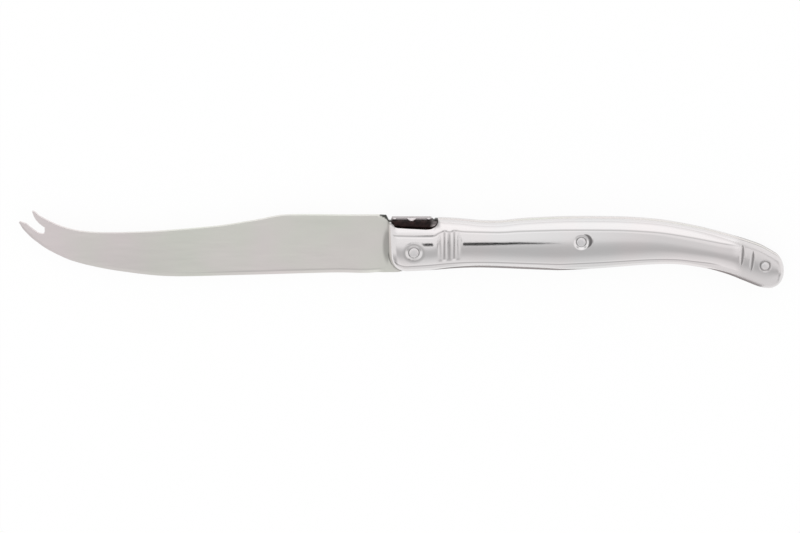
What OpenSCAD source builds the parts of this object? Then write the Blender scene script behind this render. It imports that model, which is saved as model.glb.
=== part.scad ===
// Cheese knife with a forked tip and a hollow two-shell steel handle, lying on its right side.
// The blade points to -X, the spine to +Y, and the left side of the handle faces up.

/* [Main sizes] */
// Length of the blade in front of the handle
blade_length = 112; // [100:1:124]
// Depth of the blade at its heel
blade_height = 18; // [16.5:0.5:19.5]
// Thickness of the blade at its spine and of the tang
blade_thickness = 2; // [1.6:0.1:2.4]
// Length of the handle
handle_length = 120; // [110:1:132]
// Depth of the handle at its swell
handle_height = 16; // [15:0.5:18]
// Thickness of the handle over both shells
handle_thickness = 10.6; // [10:0.2:12]

/* [Blade] */
// Thickness left at the top of the sharpened bevel
grind_thickness = 0.9; // [0.6:0.1:1.3]
// Width of the sharpened bevel
bevel_width = 1.1; // [0.8:0.1:1.6]
// Thickness of the cutting edge itself
edge_thickness = 0.12; // [0.08:0.02:0.2]
// Thickness of the forked tip
tip_thickness = 1.3; // [1:0.1:1.6]
// Full-thickness stretch in front of the handle
ricasso_length = 1.5; // [1:0.5:3]
// Length over which the full thickness runs out into the grind
grind_run = 9; // [6:1:14]
// Length of the heel under the handle's front corner
heel_run = 5; // [4:0.2:5.8]

/* [Shells] */
// Sheet thickness of the pressed shells
shell_wall = 1; // [0.7:0.1:1.2]
// Height of the straight side wall above the tang
side_wall = 1; // [0.6:0.1:1.3]
// Rise of the side panel from its creases to its crown
panel_crown = 0.7; // [0.4:0.1:0.9]
// Length of the rolled edge at the handle's front
front_roll = 3; // [2:0.2:4]
// Length of the rolled edge at the handle's tail
tail_roll = 2.2; // [1.6:0.2:3]
// Radius of the front lower corner
front_corner_radius = 6; // [4:0.1:6.4]
// Radius of the tail's upper corner
tail_top_radius = 2.5; // [1.5:0.1:3]
// Radius of the tail's lower corner
tail_bottom_radius = 4.7; // [3:0.1:5]

/* [Bands] */
// Distance from the handle's front to the first raised band
band_place = 16.9; // [16:0.1:19]
// Distance between the two raised bands
band_pitch = 2.95; // [2.6:0.05:3.4]
// Width of a raised band
band_width = 2.2; // [1.6:0.1:2.4]
// Height of a raised band
band_rise = 0.3; // [0.15:0.05:0.4]
// Distance from the tail to the first filed groove
groove_place = 12.8; // [11.5:0.1:14]
// Distance between the two filed grooves
groove_pitch = 2.9; // [2.6:0.1:3.2]
// Depth of a filed groove
groove_depth = 0.55; // [0.25:0.05:0.6]
// Radius of the file wheel that cuts a groove
groove_wheel_radius = 30; // [20:1:40]

/* [Notch and ornament] */
// Length of the notch in the handle's back
notch_length = 14; // [13.6:0.1:15]
// Depth of the ornament's seat below the handle's back
seat_drop = 0.25; // [0.15:0.05:0.4]
// Depth of the scoop in the shells at its deepest
scoop_depth = 2.6; // [2.2:0.1:3]
// Length of the back ornament
ornament_length = 12.2; // [11:0.1:12.6]
// Width of the back ornament across its bar
ornament_width = 2.3; // [2.1:0.1:2.8]
// Thickness of the back ornament
ornament_thickness = 0.6; // [0.5:0.05:0.9]
// Gap between the handle's front and the ornament
ornament_gap = 0.9; // [0.6:0.1:1.1]
// Height of the domed boss on the ornament
boss_height = 0.2; // [0.1:0.05:0.3]

/* [Pins] */
// Diameter of the pin shanks
pin_diameter = 2; // [1.6:0.1:2.2]
// Diameter of the front pin's peened heads
front_head_diameter = 2.9; // [2.7:0.1:3.2]
// Diameter of the middle pin's peened heads
middle_head_diameter = 2.7; // [2.5:0.1:3]
// Diameter of the end pin's peened heads
end_head_diameter = 2.4; // [2.3:0.1:2.8]
// Diameter of the dish round the front pin
front_dish_diameter = 5.2; // [4.6:0.1:5.8]
// Diameter of the dish round the middle pin
middle_dish_diameter = 4.5; // [4:0.1:5]
// Diameter of the recess round the end pin
end_dish_diameter = 3.7; // [3.4:0.1:4.2]
// Depth of the dish round a pin
dish_depth = 0.45; // [0.35:0.05:0.55]
// Outer diameter of the sleeves round the pins
sleeve_diameter = 3.4; // [3:0.1:3.8]
// Distance from the handle's front to the front pin
front_pin_place = 7.7; // [7:0.1:9]
// Distance from the tail to the end pin
end_pin_place = 5.9; // [5:0.1:6.2]
// Radial clearance of a pin in its holes
pin_clearance = 0.05; // [0.02:0.01:0.08]
// Clearance between pieces that are bedded in each other
bed_clearance = 0.05; // [0.03:0.01:0.1]

/* [Hidden] */

round_steps = 64;
half_tang = blade_thickness / 2;
half_handle = handle_thickness / 2;
crease_height = half_handle - panel_crown;
overrun = blade_thickness;

// Blade outlines from the heel (0) to the tip (1), as shares of the blade's length and depth.
spine_shares = [[0, 0.489], [0.1, 0.484], [0.2, 0.49], [0.265, 0.489], [0.3, 0.472], [0.35, 0.408],
  [0.4, 0.354], [0.45, 0.304], [0.5, 0.27], [0.55, 0.241], [0.6, 0.216], [0.65, 0.195],
  [0.7, 0.185], [0.75, 0.18], [0.8, 0.187], [0.84, 0.214], [0.87, 0.257], [0.895, 0.312],
  [0.92, 0.387], [0.945, 0.475], [0.964, 0.556], [1, 0.363]];
edge_shares = [[0, -0.492], [0.024, -0.499], [0.05, -0.515], [0.08, -0.518], [0.12, -0.511],
  [0.16, -0.512], [0.24, -0.526], [0.32, -0.541], [0.4, -0.554], [0.48, -0.568], [0.54, -0.577],
  [0.58, -0.578], [0.62, -0.568], [0.66, -0.545], [0.7, -0.513], [0.75, -0.467], [0.8, -0.405],
  [0.84, -0.342], [0.87, -0.279], [0.9, -0.19], [0.93, -0.084], [0.95, 0.01], [0.965, 0.085],
  [0.98, 0.18], [0.99, 0.252], [1, 0.355]];
// The slot between the two tines, in the same shares.
slot_shares = [[1.01, 0.385], [0.996, 0.372], [0.981, 0.34], [0.966, 0.258], [0.951, 0.188],
  [0.945, 0.17], [0.9365, 0.162], [0.9312, 0.195], [0.931, 0.284], [0.935, 0.294], [0.946, 0.352],
  [0.954, 0.41], [0.9595, 0.47], [0.9642, 0.56], [0.972, 0.7], [1.02, 0.7]];
// Handle outlines from its front (0) to its tail (1), as shares of the handle's length and depth.
back_shares = [[0, 0.487], [0.08, 0.487], [0.13, 0.478], [0.18, 0.458], [0.232, 0.421],
  [0.283, 0.418], [0.333, 0.456], [0.384, 0.479], [0.435, 0.495], [0.485, 0.5], [0.536, 0.498],
  [0.587, 0.492], [0.638, 0.471], [0.688, 0.436], [0.739, 0.373], [0.79, 0.295], [0.84, 0.197],
  [0.891, 0.085], [0.916, 0.022], [0.942, -0.052], [0.967, -0.156], [1, -0.306]];
belly_shares = [[0, -0.537], [0.055, -0.517], [0.105, -0.497], [0.156, -0.464], [0.207, -0.446],
  [0.257, -0.448], [0.308, -0.462], [0.359, -0.478], [0.409, -0.492], [0.435, -0.496],
  [0.485, -0.48], [0.536, -0.458], [0.587, -0.427], [0.638, -0.396], [0.688, -0.377],
  [0.715, -0.377], [0.739, -0.386], [0.764, -0.41], [0.79, -0.443], [0.815, -0.482],
  [0.84, -0.535], [0.866, -0.6], [0.891, -0.675], [0.916, -0.752], [0.934, -0.806],
  [0.955, -0.845], [1, -0.85]];
// Width of the shoulder between each outline and the panel crease, in the same shares.
back_shoulder_shares = [[0, 0.28], [0.11, 0.285], [0.127, 0.22], [0.1414, 0.165], [0.1535, 0.185],
  [0.166, 0.15], [0.185, 0.16], [0.232, 0.138], [0.283, 0.14], [0.36, 0.165], [0.485, 0.18],
  [0.688, 0.172], [0.79, 0.158], [0.84, 0.135], [0.88, 0.1], [0.93, 0.07], [1, 0.06]];
belly_shoulder_shares = [[0, 0.122], [0.08, 0.13], [0.232, 0.14], [0.485, 0.15], [0.638, 0.132],
  [0.764, 0.126], [0.84, 0.165], [0.916, 0.19], [1, 0.2]];
shoulder_limit_share = 0.3;
shoulder_angle = 42;
crown_flat_share = 0.25;
bedding_flat_share = 0.22;
inner_crease_share = 0.4;
inner_wall_share = 0.5;

// Heights of the pins across the handle, from the belly (0) to the back (1).
front_pin_share = 0.4;
middle_pin_share = 0.586;
end_pin_share = 0.625;
middle_pin_run_share = 0.486;
pin_xs = [front_pin_place, handle_length * middle_pin_run_share, handle_length - end_pin_place];
pin_height_shares = [front_pin_share, middle_pin_share, end_pin_share];
head_diameters = [front_head_diameter, middle_head_diameter, end_head_diameter];
dish_diameters = [front_dish_diameter, middle_dish_diameter, end_dish_diameter];

blade_rows = 84;
front_rows = 10;
bolster_rows = 5;
band_rows = 18;
grip_rows = 30;
roll_rows = 7;
shoulder_steps = 4;
panel_steps = 8;

function part(a, b, share) = a + (b - a) * share;
function clamp(v) = max(0, min(1, v));
function ease(v) = let (c = clamp(v)) c * c * (3 - 2 * c);
function slope(table, i) =
  let (a = max(0, i - 1), b = min(len(table) - 1, i + 1))
  (table[b][1] - table[a][1]) / (table[b][0] - table[a][0]);
// A smooth curve through a table of points, read at t.
function along(table, t) =
  let (i = max(0, min(len(table) - 2, len([for (p = table) if (p[0] <= t) 1]) - 1)),
    run = table[i + 1][0] - table[i][0], u = (t - table[i][0]) / run, v = 1 - u)
  table[i][1] * v * v * (1 + 2 * u) + table[i + 1][1] * u * u * (3 - 2 * u)
    + run * u * v * (slope(table, i) * v - slope(table, i + 1) * u);
// How far a round corner of radius r has drawn in at distance d from its end.
function corner(d, r) = d >= r ? 0 : r - sqrt(max(0, r * r - (r - d) * (r - d)));
// How much of the full height a rolled end has at distance d, from the side wall's height up.
function roll(d, r, foot) = d >= r ? 1 : foot + (1 - foot) * sqrt(max(0, 1 - pow(1 - d / r, 2)));

function spine_y(x) = blade_height * along(spine_shares, -x / blade_length);
function edge_y(x) = blade_height * along(edge_shares, -x / blade_length);
function tail_gap(x) = handle_length - x;
function back_y(x) =
  handle_height * along(back_shares, x / handle_length) - corner(tail_gap(x), tail_top_radius);
function belly_y(x) =
  handle_height * along(belly_shares, x / handle_length) + corner(tail_gap(x), tail_bottom_radius);
function shell_belly_y(x) = belly_y(x) + corner(x, front_corner_radius);
// The heel runs on level under the handle's corner, then rises to the belly behind it.
heel_level_share = 0.5;
function heel_rise(x) = ease((x / heel_run - heel_level_share) / (1 - heel_level_share));
function tang_belly_y(x) =
  x > heel_run ? belly_y(x) : min(belly_y(x), part(edge_y(0), belly_y(heel_run), heel_rise(x)));

band_margin = 0.6;
band_start = band_place - band_width / 2 - band_margin;
band_end = band_place + band_pitch + band_width / 2 + band_margin;
front_run = max(front_corner_radius, front_roll);
tail_run = max(tail_top_radius, tail_bottom_radius, tail_roll);
handle_xs = concat(
  [for (i = [0:front_rows - 1]) front_run * (1 - cos(90 * i / front_rows))],
  [for (i = [0:bolster_rows - 1]) part(front_run, band_start, i / bolster_rows)],
  [for (i = [0:band_rows - 1]) part(band_start, band_end, i / band_rows)],
  [for (i = [0:grip_rows - 1]) part(band_end, handle_length - tail_run, i / grip_rows)],
  [for (i = [0:roll_rows]) handle_length - tail_run * (1 - sin(90 * i / roll_rows))]);
blade_xs = [for (i = [0:blade_rows - 1]) -blade_length * (1 - i / blade_rows)];

// The knife's own middle, which the whole part is set on.
highest = max([for (x = blade_xs) spine_y(x)]);
lowest = min([for (x = handle_xs) belly_y(x)]);
middle_x = (handle_length - blade_length) / 2;
middle_y = (highest + lowest) / 2;

module placed() translate([-middle_x, -middle_y, half_handle]) children();

// A closed solid through rings that all have the same number of points.
module loft(rings) {
  n = len(rings[0]);
  last = (len(rings) - 1) * n;
  polyhedron(
    points = [for (ring = rings) each ring],
    faces = concat(
      cap_faces(n, 0, true),
      [for (i = [0:len(rings) - 2], j = [0:n - 1]) [i * n + j, i * n + (j + 1) % n, (i + 1) * n + j]],
      [for (i = [0:len(rings) - 2], j = [0:n - 1])
        [i * n + (j + 1) % n, (i + 1) * n + (j + 1) % n, (i + 1) * n + j]],
      cap_faces(n, last, false)));
}
// Closes a ring of n points by strips between its two halves.
function cap_faces(n, first, flip) =
  [for (j = [0:floor(n / 2) - 1], half = [0, 1])
    let (a = j, b = j + 1, c = n - 2 - j, d = n - 1 - j, face = half == 0 ? [a, b, d] : [b, c, d])
    if (b < c || half == 0) [for (v = flip ? [face[2], face[1], face[0]] : face) first + v]];

// Section of the blade at x: full thickness at the handle, then a flat grind and a sharpened bevel.
function blade_ring(x) =
  let (ground = ease((-x - ricasso_length) / grind_run),
    tine = ease((-x / blade_length - tine_start_share) / (1 - tine_start_share)),
    top = x < 0 ? spine_y(x) : back_y(x),
    foot = x < 0 ? edge_y(x) : tang_belly_y(x),
    rise = min(bevel_width, bevel_limit_share * (top - foot)),
    spine = part(half_tang, tip_thickness / 2, clamp(-x / blade_length)),
    shoulder = part(half_tang, part(grind_thickness / 2, tip_thickness / 2, tine), ground),
    edge = part(half_tang, part(edge_thickness / 2, tip_thickness * tine_edge_share / 2, tine), ground))
  [[x, foot, edge], [x, foot + rise, shoulder], [x, top, spine],
    [x, top, -spine], [x, foot + rise, -shoulder], [x, foot, -edge]];
tine_start_share = 0.86;
tine_edge_share = 0.5;
bevel_limit_share = 0.4;

// The notch in the tang: the blade's shoulder falls to a relief, and the seat runs from there to the
// end wall.
shoulder_setback = 0.7;
relief_start = 0.3;
relief_depth = 0.95;
seat_layer = 0.2;
notch_wall_run = 0.9;
relief_floor_share = 0.7;
notch_top = back_y(0);
seat_y = notch_top - seat_drop;
tang_seat_y = seat_y - seat_layer;
relief_y = seat_y - relief_depth;
relief_end = ornament_gap - pin_clearance;
module notch_outline()
  polygon([[-shoulder_setback, spine_y(0)], [relief_start, relief_y],
    [part(relief_start, relief_end, relief_floor_share), relief_y], [relief_end, tang_seat_y],
    [notch_length, tang_seat_y], [notch_length + notch_wall_run, notch_top + overrun],
    [-shoulder_setback, notch_top + overrun]]);

// The scoop in the shells, as shares of the notch's length and of the scoop's depth.
scoop_shares = [[-0.2, 0.36], [0.06, 0.36], [0.11, 0.52], [0.135, 0.76], [0.2, 0.84], [0.4, 0.91],
  [0.62, 0.97], [0.82, 1.02], [0.93, 0.96], [1, 0.77], [1.05, 0.5], [1.075, 0.2], [1.085, -0.4],
  [1.085, -1], [-0.2, -1]];
module scoop_outline(drop)
  polygon([for (p = scoop_shares)
    [notch_length * p[0], notch_top - scoop_depth * p[1] - (p[1] > 0 ? drop : 0)]]);

// A filed facet on each side where the blade's back ends, through three points of its edges.
facet_run = 2.8;
facet_depth = 0.7;
facet_drop = 0.8;
module shoulder_facet() {
  start = [-shoulder_setback - facet_run, spine_y(0), half_tang];
  face = cross([facet_run, 0, -facet_depth], [facet_run, -facet_drop, 0]) * -1;
  reach = 2 * facet_run;
  for (side = [0, 1]) mirror([0, 0, side]) intersection() {
    translate(start) rotate([0, acos(face.z / norm(face)), atan2(face.y, face.x)])
      translate([-reach, -reach, 0]) cube([2 * reach, 2 * reach, reach]);
    translate([start.x, 0, 0]) cube([relief_start - start.x, blade_height, blade_thickness]);
  }
}

module pin_bores(radius)
  for (i = [0:2]) translate([pin_xs[i], pin_y(i), -handle_thickness])
    cylinder(r = radius, h = 2 * handle_thickness, $fn = round_steps);
function pin_y(i) = part(belly_y(pin_xs[i]), back_y(pin_xs[i]), pin_height_shares[i]);

// Two round tenons hold the ornament in the tang.
tenon_radius = 0.55;
tenon_length = 1.4;
tenon_shares = [0.22, 0.78];
module tenons(extra)
  for (share = tenon_shares)
    translate([ornament_gap + ornament_length * share, seat_y + extra, 0])
      rotate([90, 0, 0]) cylinder(r = tenon_radius + extra, h = tenon_length + 2 * extra, $fn = round_steps);

module blade() color([0.78, 0.78, 0.77]) placed() difference() {
  loft([for (x = concat(blade_xs, handle_xs)) blade_ring(x)]);
  linear_extrude(blade_thickness * 2, center = true)
    polygon([for (p = slot_shares) [-blade_length * p[0], blade_height * p[1]]]);
  linear_extrude(blade_thickness * 2, center = true) notch_outline();
  shoulder_facet();
  pin_bores(pin_diameter / 2 + pin_clearance);
  tenons(pin_clearance);
}

// Half section of the handle at x, set in from the outer face by inset, with a flat along its crown.
function shell_section(x, inset, flat_share) =
  let (foot_share = side_wall / (half_handle - half_tang),
    lift = roll(x, front_roll, foot_share) * roll(tail_gap(x), tail_roll, foot_share),
    low = shell_belly_y(x), high = back_y(x), deep = high - low,
    limit = shoulder_limit_share * deep, t_x = x / handle_length,
    belly_in = min(limit, handle_height * along(belly_shoulder_shares, t_x)),
    back_in = min(limit, handle_height * along(back_shoulder_shares, t_x)),
    tuck = inset * min(1, deep / handle_height),
    low_crease = low + belly_in + tuck * inner_crease_share,
    high_crease = high - back_in - tuck * inner_crease_share,
    wall_z = half_tang + side_wall - inset * inner_wall_share, crease_z = crease_height - inset,
    shift = inset * (1 - 2 * t_x),
    flat = concat(
      [[low + tuck, half_tang]],
      [for (k = [0:shoulder_steps - 1]) let (a = shoulder_angle * k / shoulder_steps)
        [part(low + tuck, low_crease, (1 - cos(a)) / (1 - cos(shoulder_angle))),
          part(wall_z, crease_z, sin(a) / sin(shoulder_angle))]],
      [for (k = [0:panel_steps]) let (t = 2 * k / panel_steps - 1,
          bulge = max(0, (abs(t) - flat_share) / (1 - flat_share)))
        [part(low_crease, high_crease, k / panel_steps),
          crease_z + panel_crown * (1 - bulge * bulge) + (inset > 0 ? 0 : band_z(x, t, bulge))]],
      [for (k = [shoulder_steps - 1:-1:0]) let (a = shoulder_angle * k / shoulder_steps)
        [part(high - tuck, high_crease, (1 - cos(a)) / (1 - cos(shoulder_angle))),
          part(wall_z, crease_z, sin(a) / sin(shoulder_angle))]],
      [[high - tuck, half_tang]]))
  [for (p = flat) [x + shift, p[0], half_tang + (p[1] - half_tang) * lift]];

// The two bands rise out of a sunk zone, level with the crown, and stop short of the lower crease.
band_foot_share = 0.85;
band_foot_run_share = 0.2;
function bump(x, middle) = let (d = abs(x - middle) * 2 / band_width) d >= 1 ? 0 : pow(cos(90 * d), 2);
function band_z(x, t, bulge) =
  let (zone = ease((x - band_start) / band_margin) * ease((band_end - x) / band_margin))
  band_rise * ease((t + band_foot_share) / band_foot_run_share)
    * (bump(x, band_place) + bump(x, band_place + band_pitch) - zone * (1 - bulge * bulge));

function grid_faces(rows, n, first, flip) =
  [for (i = [0:rows - 2], j = [0:n - 2], half = [0, 1])
    let (a = first + i * n + j, b = a + 1, c = a + n, d = c + 1)
    flip ? (half == 0 ? [a, c, b] : [b, c, d]) : (half == 0 ? [a, b, c] : [b, d, c])];

// A pressed shell: an outer and an inner face of equal grids, joined by the rim that seats on the tang.
module shell_body() {
  rows = len(handle_xs);
  outer = [for (x = handle_xs) each shell_section(x, 0, crown_flat_share)];
  inner = [for (x = handle_xs) each shell_section(x, shell_wall, crown_flat_share)];
  n = len(outer) / rows;
  k = rows * n;
  last = (rows - 1) * n;
  polyhedron(
    points = concat(outer, inner),
    faces = concat(
      grid_faces(rows, n, 0, false), grid_faces(rows, n, k, true),
      [[for (j = [n - 1:-1:0]) j], [for (j = [0:n - 1]) k + j]],
      [[for (j = [0:n - 1]) last + j], [for (j = [n - 1:-1:0]) k + last + j]],
      [for (i = [0:rows - 2]) [i * n, (i + 1) * n, k + i * n]],
      [for (i = [0:rows - 2]) [(i + 1) * n, k + (i + 1) * n, k + i * n]],
      [for (i = [1:rows - 1]) [i * n + n - 1, (i - 1) * n + n - 1, k + i * n + n - 1]],
      [for (i = [1:rows - 1]) [(i - 1) * n + n - 1, k + (i - 1) * n + n - 1, k + i * n + n - 1]],
      [[0, k, n - 1], [k, k + n - 1, n - 1]],
      [[last, last + n - 1, k + last], [last + n - 1, k + last + n - 1, k + last]]));
}

// Each dish has a flat floor under the pin's head and a cone up to the panel.
floor_margin = 0.15;
module pin_dishes()
  for (i = [0:2]) let (floor_radius = head_diameters[i] / 2 + floor_margin)
    translate([pin_xs[i], pin_y(i), half_handle - dish_depth])
      cylinder(r1 = floor_radius, r2 = dish_diameters[i] - floor_radius, h = 2 * dish_depth,
        $fn = round_steps);

// Lens-shaped grooves, cut by a wheel with a sharp rim.
groove_rim_slope = 1.4;
groove_tilts = [0, 7];
groove_lean = 7;
groove_height_shares = [0.68, 0.62];
module filed_grooves()
  for (i = [0, 1]) let (x = handle_length - groove_place + i * groove_pitch)
    translate([x, part(belly_y(x), back_y(x), groove_height_shares[i]), half_handle - groove_depth])
      rotate([-groove_lean, 0, -groove_tilts[i]]) translate([0, 0, groove_wheel_radius])
        rotate([0, 90, 0]) for (side = [0, 1]) mirror([0, 0, side])
          cylinder(r1 = groove_wheel_radius, r2 = 0, h = groove_wheel_radius * groove_rim_slope,
            $fn = round_steps);

module shell() color([0.86, 0.85, 0.85]) difference() {
  shell_body();
  linear_extrude(handle_thickness) scoop_outline(0);
  pin_dishes();
  filed_grooves();
  pin_bores(pin_diameter / 2 + pin_clearance);
}
module left_shell() placed() shell();
module right_shell() placed() mirror([0, 0, 1]) shell();

// Dark bedding compound that fills each shell up to the scoop.
module bedding() color([0.13, 0.07, 0.06]) difference() {
  loft([for (x = handle_xs) shell_section(x, shell_wall + bed_clearance, bedding_flat_share)]);
  linear_extrude(handle_thickness) scoop_outline(bed_clearance);
  pin_bores(sleeve_diameter / 2 + bed_clearance);
}
module left_bedding() placed() bedding();
module right_bedding() placed() mirror([0, 0, 1]) bedding();

// The notch is filled with the same compound, in a saddle over the tang that the ornament sits on.
saddle_width = 5.2;
module notch_filling() color([0.13, 0.07, 0.06]) placed() difference() {
  intersection() {
    linear_extrude(saddle_width, center = true) scoop_outline(-bed_clearance);
    translate([ornament_gap, 0, -saddle_width]) cube([ornament_length, seat_y, 2 * saddle_width]);
  }
  translate([0, 0, -half_tang]) cube([notch_length, tang_seat_y, blade_thickness]);
  tenons(pin_clearance);
}

// A bar with lobes at its ends and middle and a low domed boss, held in the tang by two tenons.
lobe_place_shares = [0.075, 0.5, 0.925];
lobe_radius_shares = [0.22, 0.56, 0.22];
lobe_reach_shares = [0.58, 0.66, 0.58];
boss_radius_share = 0.42;
module ornament_place() translate([ornament_gap, seat_y, 0]) children();
module lobes()
  for (i = [0:2], side = [-1, 1])
    translate([ornament_length * lobe_place_shares[i], ornament_thickness,
        side * ornament_width * lobe_reach_shares[i]])
      rotate([90, 0, 0])
        cylinder(r = ornament_width * lobe_radius_shares[i], h = ornament_thickness, $fn = round_steps);
module back_ornament() color([0.74, 0.71, 0.71]) placed() {
  boss = ornament_width * boss_radius_share;
  ball = (boss * boss + boss_height * boss_height) / (2 * boss_height);
  ornament_place() {
    translate([0, 0, -ornament_width / 2]) cube([ornament_length, ornament_thickness, ornament_width]);
    lobes();
    intersection() {
      translate([ornament_length / 2, ornament_thickness + boss_height - ball, 0])
        sphere(r = ball, $fn = round_steps);
      translate([0, 0, -ornament_width]) cube([ornament_length, 2 * ornament_width, 2 * ornament_width]);
    }
  }
  tenons(0);
}

// A pin with a low peened dome at each end, seated in the dishes.
head_wall = 0.12;
head_relief = 0.08;
dome_steps = 6;
module pin(i) color([0.8, 0.79, 0.79]) placed() translate([pin_xs[i], pin_y(i), 0]) {
  seat = half_handle - dish_depth;
  rim = seat + head_wall;
  dome = half_handle - head_relief - rim;
  head = head_diameters[i] / 2;
  side = concat([[pin_diameter / 2, 0], [pin_diameter / 2, seat], [head, seat]],
    [for (a = [0:90 / dome_steps:90]) [head * cos(a), rim + dome * sin(a)]]);
  for (half = [0, 1]) mirror([0, 0, half])
    rotate_extrude($fn = round_steps) polygon(concat([[0, 0]], side));
}
module front_pin() pin(0);
module middle_pin() pin(1);
module end_pin() pin(2);

// A sleeve keeps a shell off the tang while its pin is peened. It ends just under the shell's crown.
sleeve_relief_share = 0.5;
module sleeve(i) color([0.6, 0.6, 0.6]) translate([pin_xs[i], pin_y(i), half_tang]) difference() {
  height = half_handle - shell_wall - half_tang - panel_crown * sleeve_relief_share;
  cylinder(d = sleeve_diameter, h = height, $fn = round_steps);
  translate([0, 0, -overrun])
    cylinder(r = pin_diameter / 2 + pin_clearance, h = height + 2 * overrun, $fn = round_steps);
}
module left_front_sleeve() placed() sleeve(0);
module left_middle_sleeve() placed() sleeve(1);
module left_end_sleeve() placed() sleeve(2);
module right_front_sleeve() placed() mirror([0, 0, 1]) sleeve(0);
module right_middle_sleeve() placed() mirror([0, 0, 1]) sleeve(1);
module right_end_sleeve() placed() mirror([0, 0, 1]) sleeve(2);

blade();
left_shell();
right_shell();
left_bedding();
right_bedding();
notch_filling();
back_ornament();
front_pin();
middle_pin();
end_pin();
left_front_sleeve();
left_middle_sleeve();
left_end_sleeve();
right_front_sleeve();
right_middle_sleeve();
right_end_sleeve();
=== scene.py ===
import math

import bmesh
import bpy
import numpy as np
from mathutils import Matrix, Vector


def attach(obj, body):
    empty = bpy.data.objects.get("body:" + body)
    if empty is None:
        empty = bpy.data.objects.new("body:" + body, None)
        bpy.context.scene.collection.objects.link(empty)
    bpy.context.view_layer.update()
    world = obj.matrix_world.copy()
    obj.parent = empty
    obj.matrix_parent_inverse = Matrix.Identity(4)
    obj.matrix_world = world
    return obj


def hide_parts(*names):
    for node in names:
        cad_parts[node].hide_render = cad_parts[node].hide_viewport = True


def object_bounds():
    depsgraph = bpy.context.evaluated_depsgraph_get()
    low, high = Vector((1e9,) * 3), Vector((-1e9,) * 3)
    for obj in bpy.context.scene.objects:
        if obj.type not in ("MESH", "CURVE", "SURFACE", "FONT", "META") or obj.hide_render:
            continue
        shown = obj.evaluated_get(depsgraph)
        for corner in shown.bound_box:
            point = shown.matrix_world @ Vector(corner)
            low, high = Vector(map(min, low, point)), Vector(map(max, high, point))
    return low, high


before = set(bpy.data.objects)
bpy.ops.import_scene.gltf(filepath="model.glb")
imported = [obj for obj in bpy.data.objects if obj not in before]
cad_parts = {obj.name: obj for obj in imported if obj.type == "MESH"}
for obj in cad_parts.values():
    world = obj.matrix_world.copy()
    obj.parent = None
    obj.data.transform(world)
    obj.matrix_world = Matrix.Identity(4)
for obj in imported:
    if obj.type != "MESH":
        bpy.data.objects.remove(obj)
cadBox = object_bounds()
millimetre = 0.001
print("stage: frame loaded")

# Shapes are worked out in millimetres from the handle's front, then placed in the frame.
# x runs from the blade's tip to the tail, y from the cutting edge to the back, z up from the mid-plane.
# Outlines and shoulders are tables of shares: along the length, then of the depth. Rows of a mesh are
# given as from, to and how many.
bladeShape = {
    "length": 112, "height": 18, "thickness": 2, "tip": 1.3, "grind": 0.9, "edge": 0.12,
    "ricasso": 1.5, "grindRun": 9, "bevelWidth": 1.1, "bevelLimit": 0.4, "bevelStart": 0.6,
    "bevelRun": 4, "riseLimit": 0.7, "tineStart": 0.86, "tineEdge": 0.5, "leastDepth": 0.02,
    # how far the heel goes on under the handle, and the share of that run which is level
    "heelRun": 5, "heelLevel": 0.5,
    "spine": [[0, 0.489], [0.1, 0.484], [0.2, 0.49], [0.265, 0.489], [0.3, 0.472], [0.35, 0.408],
              [0.4, 0.354], [0.45, 0.304], [0.5, 0.27], [0.55, 0.241], [0.6, 0.216], [0.65, 0.195],
              [0.7, 0.185], [0.75, 0.18], [0.8, 0.187], [0.84, 0.214], [0.87, 0.257], [0.895, 0.312],
              [0.92, 0.387], [0.945, 0.475], [0.964, 0.556], [1, 0.363]],
    "cuttingEdge": [[0, -0.492], [0.024, -0.499], [0.05, -0.515], [0.08, -0.518], [0.12, -0.511],
                    [0.16, -0.512], [0.24, -0.526], [0.32, -0.541], [0.4, -0.554], [0.48, -0.568],
                    [0.54, -0.577], [0.58, -0.578], [0.62, -0.568], [0.66, -0.545], [0.7, -0.513],
                    [0.75, -0.467], [0.8, -0.405], [0.84, -0.342], [0.87, -0.279], [0.9, -0.19],
                    [0.93, -0.084], [0.95, 0.01], [0.965, 0.085], [0.98, 0.18], [0.99, 0.252],
                    [1, 0.355]],
    # the slot between the tines: where it ends, its lower and upper line, and the upper tine's tip
    "slotRoot": 0.931,
    "slotBelow": [[0.931, 0.2], [0.9325, 0.178], [0.9365, 0.162], [0.945, 0.17], [0.951, 0.188],
                  [0.966, 0.258], [0.981, 0.34], [0.996, 0.372], [1.01, 0.385]],
    "slotAbove": [[0.931, 0.284], [0.935, 0.294], [0.946, 0.352], [0.954, 0.41], [0.9595, 0.47],
                  [0.9642, 0.56]],
    "upperTip": 0.9641,
    # the filed facet where the back ends
    "facetRun": 2.8, "facetDepth": 0.7, "facetDrop": 0.8, "facetLeast": 0.1,
    "rows": [[119.99, 116, 14], [115.5, 16, 110], [15.4, 13.8, 17], [13.4, 1.2, 20], [0.9, -0.9, 37],
             [-1.1, -8, 36]],
    "bodyStart": -8.4, "bodyRows": 260, "lowerRows": 46, "upperRows": 34,
    "bevelColumns": 5, "lowColumns": 16, "rootColumns": 8, "highColumns": 14,
}
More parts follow.
